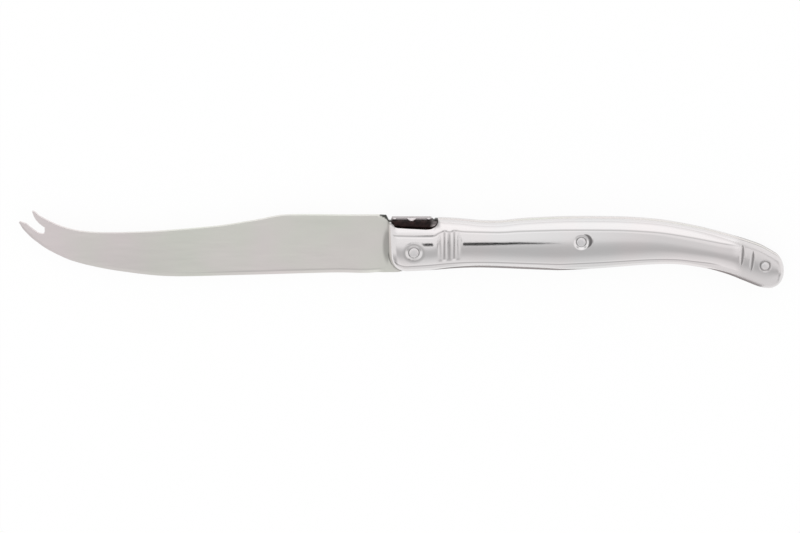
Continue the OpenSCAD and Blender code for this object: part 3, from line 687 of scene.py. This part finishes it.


# Darkening on the shells, most of it painted shade and dark reflection: how dark each is, from 0 to 1, and
# where it lies. Most pairs are a place and the run over which the mark fades.
shellMarks = {
    # painted shade in the sunk creases and on the front roll
    "creases": [0.5, 0.42], "lip": 0.13, "lipEnd": [3, 1.5],
    # painted shade on the flat walls along the seam and in the seam's fine V; the tail is left satin and
    # darker
    "wall": 0.18, "wallTop": [3.7, 1.6], "tail": 0.19, "tailSatin": 0.75,
    "tailSeam": 0.5, "tailSeamTop": [2.1, 0.4],
    "seam": 0.08, "seamTop": [1.3, 0.15], "seamFrom": 15,
    # darker on the panel's upper half towards the tail
    "darkerPatch": 0.2, "patchStart": [36, 55], "patchLow": [-0.4, 1.8], "patchFade": 0.3,
    # painted dark reflection of the shaded floor on the belly's shoulder, left off along part of its
    # length, and painted shade on the panel's lower part
    "belly": 0.17, "bellyTop": [0.15, 0.3], "held": 0.85, "heldStart": [18, 6], "heldEnd": [58, 14],
    "under": 0.07, "underTop": [-1.2, 1.5], "underStart": [20, 8],
    # painted shade where the shell meets the notch's two ends
    "notch": 0.6, "notchReach": 14.6, "notchUp": [1.5, 1],
    "backStart": [13.4, 1.2], "backEnd": [16.2, 1.6], "backLow": [-1.2, 1.4],
    "front": 0.8, "frontEnd": [2.4, 1], "frontLow": [-0.9, 0.7],
}


def shellMasks(x, y, z, s, tail, inCuts):
    m, b = shellMarks, bandShape
    low, high = s["lowCrease"], s["highCrease"]
    middle = (low + high) / 2
    darkerPatch = fadeIn(x, *m["patchStart"]) * fadeIn(y - middle, *m["patchLow"]) * (1 - tail)
    held = m["held"] * fadeIn(x, *m["heldStart"]) * fadeOut(x, *m["heldEnd"])
    belly = fadeOut(y - low, *m["bellyTop"])
    under = fadeOut(y - middle, *m["underTop"]) * (1 - belly) * fadeIn(x, *m["underStart"])
    edge = scoopY(np.clip(x, 0, m["notchReach"]))
    atBack = fadeIn(x, *m["backStart"]) * fadeOut(x, *m["backEnd"]) * fadeIn(y - edge, *m["backLow"])
    atFront = m["front"] * fadeOut(x, *m["frontEnd"]) * fadeIn(y - edge, *m["frontLow"])
    inPanel = fadeIn(y - low, *b["low"]) * fadeOut(y, high, b["highFade"])
    halfPitch = b["pitch"] / 2
    besideBands = [b["shadeAndSoil"] * inPanel * np.exp(-((x - b["place"] - n * halfPitch) / b["shadeWidth"]) ** 2)
                   for n in (0, 1, 2)]
    shadeAndSoil = np.max([
        inCuts, *besideBands, m["lip"] * fadeOut(x, *m["lipEnd"]) + 0 * y,
        m["wall"] * fadeOut(z, *m["wallTop"]), m["tail"] * tail + 0 * y,
        m["tailSeam"] * tail * fadeOut(z, *m["tailSeamTop"]),
        m["seam"] * fadeOut(z, *m["seamTop"]) * (x > m["seamFrom"]),
        m["darkerPatch"] * darkerPatch * fadeOut(y, high, m["patchFade"]),
        m["belly"] * belly * (1 - held), m["under"] * under,
        m["notch"] * np.maximum(atBack, atFront) * fadeIn(z, *m["notchUp"])], axis=0)
    bands = b["satin"] * inPanel * fadeOut(np.abs(x - b["place"] - halfPitch), *b["satinEnd"])
    return {"shadeAndSoil": shadeAndSoil, "satin": np.maximum(m["tailSatin"] * tail, bands)}


def shellGrid(x, inset, columns):
    # outer or inner face of a shell, cut off at the scoop's edge
    h = handleShape
    x = x[:, None]
    s = shellSection(x, inset)
    angle = math.radians(h["shoulderAngle"])
    wallColumns, bellyColumns, panelColumns, backColumns = columns
    one = np.ones_like(x)
    up = np.linspace(0, 1, wallColumns + 1)[None, :-1]
    wallY = s["low"] + 0 * up
    wallZ = mix(halfTang * one, s["wallZ"], up)
    a = angle * np.linspace(0, 1, bellyColumns + 1)[None, :-1]
    lowY = mix(s["low"], s["lowCrease"], (1 - np.cos(a)) / (1 - math.cos(angle)))
    lowZ = mix(s["wallZ"], s["creaseZ"], np.sin(a) / math.sin(angle)) * one
    share = np.linspace(0, 1, panelColumns + 1)[None, :]
    t = 2 * share - 1
    panelY = mix(s["lowCrease"], s["highCrease"], share)
    panelZ = s["creaseZ"] + h["crown"] * (1 - np.abs(t) ** h["crownPower"]) * one
    if inset == 0:
        panelZ = panelZ + bandZ(x, t)
    shoulder = s["high"] - s["highCrease"]
    reach = np.clip((s["high"] - scoopY(x)) / shoulder, 0, 1)
    endAngle = np.arccos(1 - reach * (1 - math.cos(angle)))
    a = mix(angle * one, endAngle, np.linspace(0, 1, backColumns + 1)[None, 1:])
    highY = mix(s["high"], s["highCrease"], (1 - np.cos(a)) / (1 - math.cos(angle)))
    highZ = mix(s["wallZ"], s["creaseZ"], np.sin(a) / math.sin(angle))
    down = np.linspace(0, 1, wallColumns + 1)[None, 1:]
    whole = reach <= 0
    closeZ = mix(highZ[:, -1:], np.where(whole, halfTang, highZ[:, -1:]), down)
    closeY = highY[:, -1:] + 0 * down
    y = np.hstack([wallY, lowY, panelY, highY, closeY])
    z = np.hstack([wallZ, lowZ, panelZ, highZ, closeZ])
    masks = {}
    if inset == 0:
        # painted shade along the sunk creases
        creaseShade = 0 * y
        for crease, dark, end in zip((s["lowCrease"], s["highCrease"]), shellMarks["creases"],
                                     h["creaseEnds"]):
            fade = fadeIn(x, *h["creaseStart"]) * fadeOut(x, end, h["creaseFade"])
            line = fade * np.exp(-((y - crease) / h["creaseWidth"]) ** 2)
            z = z - h["creaseDepth"] * line
            creaseShade = np.maximum(creaseShade, dark * line)
        z, inCuts = pressedDetail(np.broadcast_to(x, y.shape), y, z)
        tail = fadeIn(x, *h["tailStart"])
        masks = shellMasks(x, y, z, s, tail, np.maximum(creaseShade, inCuts))
        # the seam closes but for a fine V, which opens at the tail
        close = np.clip(1 - (z - halfTang) / h["seamWidth"], 0, 1) ** h["seamPower"]
        close = close * h["seamDepth"] * mix(h["seamShare"], 1, tail)
        y = np.where(y < (s["low"] + s["high"]) / 2, y + close, y - close * whole)
    z = halfTang + (z - halfTang) * s["lift"]
    shift = inset * (np.clip(1 - x / h["frontRoll"], 0, 1)
                     - np.clip(1 - (h["length"] - x) / h["tailRoll"], 0, 1))
    return np.stack([np.broadcast_to(x + shift, y.shape), y, z], axis=-1), masks


def makeShell(name, node, side, fine):
    # outer and inner face, joined along the rim
    h = handleShape
    step = 1 if fine else 2
    rows = [np.linspace(start, end, count // step, endpoint=False) for start, end, count in h["rows"]]
    rolled = np.linspace(0, np.pi / 2, h["frontRows"] // step, endpoint=False)
    rows.append(h["frontRoll"] * (1 - np.cos(rolled)))
    tailFrom = h["rows"][-1][1]
    rolled = np.linspace(0, np.pi / 2, h["tailRows"] // step)
    rows.append(tailFrom + (h["length"] - tailFrom) * np.sin(rolled))
    rows.append(np.linspace(*h["scoopRows"]))
    x = np.unique(np.concatenate(rows))
    wallColumns, *others = h["outerColumns"]
    outer, masks = shellGrid(x, 0, (wallColumns, *(count // step for count in others)))
    inner = shellGrid(x, h["wall"], h["innerColumns"])[0]
    masks = {key: np.concatenate([share.ravel(), np.zeros(inner[..., 0].size)])
             for key, share in masks.items()}
    points = np.vstack([outer.reshape(-1, 3), inner.reshape(-1, 3)]) * [1, 1, side]
    out = np.arange(outer[..., 0].size).reshape(outer.shape[:2])
    ins = out.size + np.arange(inner[..., 0].size).reshape(inner.shape[:2])
    faces = [gridFaces(out), gridFaces(ins), out[:1], out[-1:], ins[:1], ins[-1:]]
    faces += [gridFaces(np.stack([out[:, end], ins[:, end]], axis=1)) for end in (0, -1)]
    faces.append(np.array([[out[end, 0], ins[end, 0], ins[end, -1], out[end, -1]] for end in (0, -1)]))
    return addPiece(name, points, faces, shellSteel, [node], masks=masks)


def makePin(name, node, i):
    # a lathe profile: flat seat, short rim, then a low dome, at both ends of the shank
    p = pinShape
    px, py = pinCentres[i]
    head, shank, chamfer = p["heads"][i] / 2, p["shank"] / 2, p["chamfer"]
    seat = halfHandle - p["dishDepth"]
    rim = seat + p["headWall"]
    dome = halfHandle - p["relief"] - rim
    a = np.linspace(0, np.pi / 2, p["domeRows"])
    half = np.vstack([[[shank, 0], [shank, seat], [head - chamfer, seat], [head, seat + chamfer]],
                      np.stack([head * np.cos(a) ** p["domePower"], rim + dome * np.sin(a)], axis=1)])
    profile = np.vstack([half[::-1], half[1:] * [1, -1]])
    turn = np.linspace(0, 2 * np.pi, p["columns"])
    r, z = profile[:, :1], profile[:, 1:]
    points = np.stack([px + r * np.cos(turn), py + r * np.sin(turn), z + 0 * turn], axis=-1)
    index = np.arange(points[..., 0].size).reshape(points.shape[:2])
    return addPiece(name, points.reshape(-1, 3), [gridFaces(index)], pinSteel, [node])


ornamentShape = {
    "length": 12.2, "halfWidth": 1.15, "thickness": 0.6, "leastHeight": 0.1,
    "endRound": 0.5, "endShare": 0.8, "edgeRound": 0.24,
    # each lobe: its place along the length, its radius and how far out its centre lies
    "lobes": [[0.075, 0.506, 1.334], [0.5, 1.288, 1.518], [0.925, 0.506, 1.334]],
    "farShare": 0.15, "lobeFrom": 0.1, "undercut": 0.25,
    "boss": 0.966, "bossHeight": 0.06, "bossRun": 1.3,
    "engraved": 0.09, "lineWidth": 0.12, "shadeAndSoil": 0.5,
    "rows": 150, "bossRows": 60, "columns": 61,
}


def makeOrnament():
    # plan outline: a bar with round ends and lobes. Height: flat with rounded edges, a domed boss and
    # an engraved line that parts the lobes from the bar
    o = ornamentShape
    length, bar, edge = o["length"], o["halfWidth"], o["edgeRound"]
    x = np.unique(np.concatenate([np.linspace(0, length, o["rows"]),
                                  length / 2 + o["bossRun"] * np.linspace(-1, 1, o["bossRows"])]))
    end = np.minimum(x, length - x)
    width = bar - cornerCut(end, o["endRound"]) * o["endShare"]
    for share, radius, reach in o["lobes"]:
        away = x - length * share
        lobe = reach + np.sqrt(np.maximum(radius ** 2 - away ** 2, 0))
        width = np.where(np.abs(away) < radius, np.maximum(width, lobe), width)
    v = np.sin(np.linspace(-np.pi / 2, np.pi / 2, o["columns"]))[None, :]
    # the photo shows the lobes on the near side only, so on the far side they hardly leave the bar
    far = np.minimum(width, bar) + o["farShare"] * np.maximum(width - bar, 0)
    width = np.where(v < 0, far[:, None], width[:, None])
    z = v * width
    drop = 2 * edge - sum(np.sqrt(edge ** 2 - (edge - np.clip(inwards, 0, edge)) ** 2)
                          for inwards in (width - np.abs(z), end[:, None]))
    height = o["thickness"] - np.minimum(drop, o["thickness"] - o["leastHeight"])
    out = np.hypot(x[:, None] - length / 2, z)
    height = height + o["bossHeight"] * np.clip(1 - (out / o["boss"]) ** 2, 0, 1)
    lobed = width > bar + o["lobeFrom"]
    height = height - lobed * o["engraved"] * np.exp(-((np.abs(z) - bar) / o["lineWidth"]) ** 2)
    wideX = np.broadcast_to(x[:, None] + notchShape["gap"], z.shape)
    top = np.stack([wideX, seatY + height, z], axis=-1)
    bottom = np.stack([wideX, np.full(z.shape, seatY), z * (1 - lobed * o["undercut"] / width)], axis=-1)
    a = np.arange(z.size).reshape(z.shape)
    b = a + z.size
    faces = [gridFaces(a), gridFaces(b)]
    faces += [gridFaces(np.stack([one, two], axis=1))
              for one, two in ((a[:, 0], b[:, 0]), (a[:, -1], b[:, -1]), (a[0], b[0]), (a[-1], b[-1]))]
    # painted shade on the bar and on the far side; the near lobes are left light, a painted highlight
    shadeAndSoil = np.where(z > bar + o["lineWidth"], 0, o["shadeAndSoil"]).ravel()
    return addPiece("ornament_piece", np.vstack([top.reshape(-1, 3), bottom.reshape(-1, 3)]), faces,
                    ornamentSteel, ["back_ornament"], 50, {"shadeAndSoil": np.tile(shadeAndSoil, 2)})


fillingShape = {
    "halfWidth": 2.6, "run": 13.75, "cornerPower": 0.35, "clearance": 0.05, "leastDepth": 0.1,
    # the unevenness, two waves along the bar and round its section, on the upper part only at the top
    "unevenness": 0.05, "waves": [[2.3, 2, 0], [0.9, 3, 1]], "waveFrom": 0.5,
    # the top sinks behind the ornament, and near the end wall it is painted grey, less at the top: painted
    # shade of the steel end wall
    "topDrop": 0.4, "dropRun": 0.6, "steelWallStart": [12.4, 1.6], "steelWallTop": 0.25, "steelWallFade": [-1.8, 1],
    "rows": 90, "columns": 97,
}


def makeFilling():
    # a bar of putty whose section is a rounded box from the scoop's edge up to the ornament's seat,
    # with a slow unevenness pressed into it
    f, gap = fillingShape, notchShape["gap"]
    x = np.linspace(gap, gap + f["run"], f["rows"])[:, None]
    a = np.linspace(0, 2 * np.pi, f["columns"])[None, :]
    across, up = (np.sign(v) * np.abs(v) ** f["cornerPower"] for v in (np.cos(a), np.sin(a)))
    low = scoopY(x) + f["clearance"]
    first, second = (np.sin(x * byLength + a * byTurn + start) for byLength, byTurn, start in f["waves"])
    wave = f["unevenness"] * (1 + first * second) / 2
    z = (f["halfWidth"] - wave) * across
    top = seatY - f["topDrop"] * fadeIn(x, gap + ornamentShape["length"], f["dropRun"])
    y = mix(low, np.maximum(top - wave * (up > f["waveFrom"]), low + f["leastDepth"]), (up + 1) / 2)
    points = np.stack([np.broadcast_to(x, y.shape), y, z], axis=-1)
    index = np.arange(y.size).reshape(y.shape)
    faces = [gridFaces(index), index[:1, :-1], index[-1:, :-1]]
    paintedSteelWall = fadeIn(x, *f["steelWallStart"]) * mix(1, f["steelWallTop"], fadeIn(y - seatY, *f["steelWallFade"]))
    return addPiece("filling_piece", points.reshape(-1, 3), faces, darkResin,
                    ["notch_filling"], masks={"paintedSteelWall": paintedSteelWall})


makeBlade()
makeShell("left_shell_piece", "left_shell", 1, True)
makeShell("right_shell_piece", "right_shell", -1, False)
for number, pinName in enumerate(("front_pin", "middle_pin", "end_pin")):
    makePin(pinName + "_piece", pinName, number)
makeOrnament()
makeFilling()

# what stays as the CAD made it gets its finish
for nodeName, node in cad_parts.items():
    if nodeName.endswith("_sleeve") or nodeName.endswith("_bedding"):
        finish = sleeveSteel if nodeName.endswith("_sleeve") else darkResin
        node.data.materials.clear()
        node.data.materials.append(finish)

studio = {
    "lens": 200, "sensor": 36, "widthMm": 243.2, "tilt": 14.5, "targetMm": (-0.52, -5.585, 5.3),
    # brightness of the soft boxes round the knife, by angle from straight up towards its back
    "boxes": [[-90, 0.84], [-62, 0.88], [-50, 0.82], [-42, 0.74], [-34, 0.65], [-29, 0.56],
              [-23, 0.49], [-15, 0.5], [-9, 0.62], [-2, 0.79], [4, 0.83], [16.5, 0.84], [20.5, 0.98],
              [60, 1.0], [90, 0.82]],
    "boxTint": (1, 0.993, 0.995),
    # from what share along x the screens at both ends are seen, and their brightness by the share along
    # y, with a dark gap between them and the boxes
    "sides": {"from": 0.28, "run": 0.36, "screens": [[0, 0.9], [0.36, 0.9], [0.5, 0.58], [0.62, 0.46],
                                                     [0.8, 0.5], [1, 0.7]]},
    # height over the knife, then x, y and half width along each rod
    "rodMm": {"height": 85, "colour": "060505", "rods": [
        [[5.4, 4.8, 0.3], [6, 4.9, 1.6], [6.6, 5, 5.6], [9.6, 5, 5.6], [10.4, 5, 1.5]],
        [[16.8, -6.9, 1.5], [18.2, -6.9, 4.4], [25, -5.5, 5], [30, -3.6, 4.4], [36, -4, 3.2],
         [42, -4.9, 2.2], [50, -5.6, 0.3]]]},
    # x along each card, then its near and far edge as y and height, and its grey
    "cardsMm": {"spans": [[8, 24, 42, 58], [92, 97, 104, 109]], "near": [[-10, 1.5], [-14, 1.5]],
                "far": [[-30, 8], [-60, 16]], "colours": ["A09B9B", "9A9595"]},
    "cardRoughness": 0.9,
    # half the floor's width in metres, its colour, and the share of its own light that a view of it gets
    "floorHalf": 3, "paper": (0.99, 0.99, 0.99, 1), "floorGlow": 0.9,
}


def addGlow(tree, share, stops):
    # light whose brightness follows the stops of place and brightness, in the boxes' faint tint
    node = addNode(tree, "ShaderNodeValToRGB", {"Fac": share})
    elements = node.color_ramp.elements
    while len(elements) < len(stops):
        elements.new(1)
    for element, (position, level) in zip(elements, stops):
        element.position = position
        element.color = (*(level * tint for tint in studio["boxTint"]), 1)
    return addNode(tree, "ShaderNodeBackground", {"Color": node.outputs["Color"]}).outputs[0]


world = bpy.data.worlds.new("studio")
bpy.context.scene.world = world
world.use_nodes = True
tree = world.node_tree
tree.nodes.clear()
direction = addNode(tree, "ShaderNodeTexCoord").outputs["Generated"]
east, north, up = addNode(tree, "ShaderNodeSeparateXYZ", {"Vector": direction}).outputs
angle = addMath(tree, "ARCTAN2", north, up)
boxes = addGlow(tree, addRange(tree, angle, -math.pi / 2, math.pi / 2),
                [[(degrees + 90) / 180, level] for degrees, level in studio["boxes"]])
sides = studio["sides"]
screens = addGlow(tree, addMath(tree, "ABSOLUTE", north), sides["screens"])
flank = addRange(tree, addMath(tree, "ABSOLUTE", east), sides["from"], sides["from"] + sides["run"])
path = addNode(tree, "ShaderNodeLightPath").outputs
mirrored = addMath(tree, "MAXIMUM", path["Is Glossy Ray"], path["Is Transmission Ray"])
plain = addNode(tree, "ShaderNodeBackground", {"Color": (1, 1, 1, 1)}).outputs[0]
seenLight = mixShaders(tree, mirrored, plain, mixShaders(tree, flank, boxes, screens))
addNode(tree, "ShaderNodeOutputWorld", {"Surface": seenLight})


def addStage(name, corners, material):
    # one flat face that belongs to the studio
    mesh = bpy.data.meshes.new(name)
    mesh.from_pydata(corners, [], [list(range(len(corners)))])
    thing = bpy.data.objects.new(name, mesh)
    bpy.context.scene.collection.objects.link(thing)
    mesh.materials.append(material)
    return thing


paper, tree = newMaterial("whiteSweepPaper")[:2]
tree.nodes.clear()
path = addNode(tree, "ShaderNodeLightPath").outputs
seen = addMath(tree, "MAXIMUM", path["Is Camera Ray"], path["Is Glossy Ray"])
seen = addMath(tree, "MAXIMUM", seen, path["Is Transmission Ray"])
sheet = addNode(tree, "ShaderNodeBsdfDiffuse", {"Color": studio["paper"]}).outputs[0]
bright = addNode(tree, "ShaderNodeEmission", {"Color": (1, 1, 1, 1)}).outputs[0]
glowing = mixShaders(tree, addMath(tree, "MULTIPLY", seen, studio["floorGlow"]), sheet, bright)
addNode(tree, "ShaderNodeOutputMaterial", {"Surface": glowing})
half = studio["floorHalf"]
addStage("floor", [(-half, -half, 0), (half, -half, 0), (half, half, 0), (-half, half, 0)], paper)


def addCard(name, corners, colour):
    # a matt card that only the polished metal shows
    matt, tree, shader = newMaterial(name + "Card")
    setInputs(tree, shader, {"Base Color": hexColour(colour), "Roughness": studio["cardRoughness"]})
    card = addStage(name, [tuple(millimetre * v for v in corner) for corner in corners], matt)
    card.visible_camera = False
    card.visible_diffuse = False
    card.visible_shadow = False


# dark stand rods overhead, which the panel shows as thin lines, and two dark cards along the belly,
# which give the lower outline its dark edge
rods, cards = studio["rodMm"], studio["cardsMm"]
for number, ends in enumerate(rods["rods"]):
    addCard("stand_rod_%d" % number, [(x, y - w, rods["height"]) for x, y, w in ends]
            + [(x, y + w, rods["height"]) for x, y, w in reversed(ends)], rods["colour"])
for number, (span, near, far, colour) in enumerate(zip(*(cards[key] for key in (
        "spans", "near", "far", "colours")))):
    x1, x2, x3, x4 = span
    addCard("edge_card_%d" % number, [(x1, *near), (x2, *far), (x3, *far), (x4, *near)], colour)

tilt = math.radians(studio["tilt"])
distance = studio["lens"] / studio["sensor"] * studio["widthMm"] * millimetre
camera = bpy.data.objects.new("camera", bpy.data.cameras.new("camera"))
bpy.context.scene.collection.objects.link(camera)
camera.data.lens = studio["lens"]
camera.data.sensor_width = studio["sensor"]
camera.data.clip_start = 0.01
camera.data.clip_end = 20
tx, ty, tz = (v * millimetre for v in studio["targetMm"])
camera.location = (tx, ty + math.sin(tilt) * distance, tz + math.cos(tilt) * distance)
camera.rotation_euler = (-tilt, 0, 0)
bpy.context.scene.camera = camera
bpy.context.scene.view_settings.view_transform = "Standard"
print("stage: studio made")
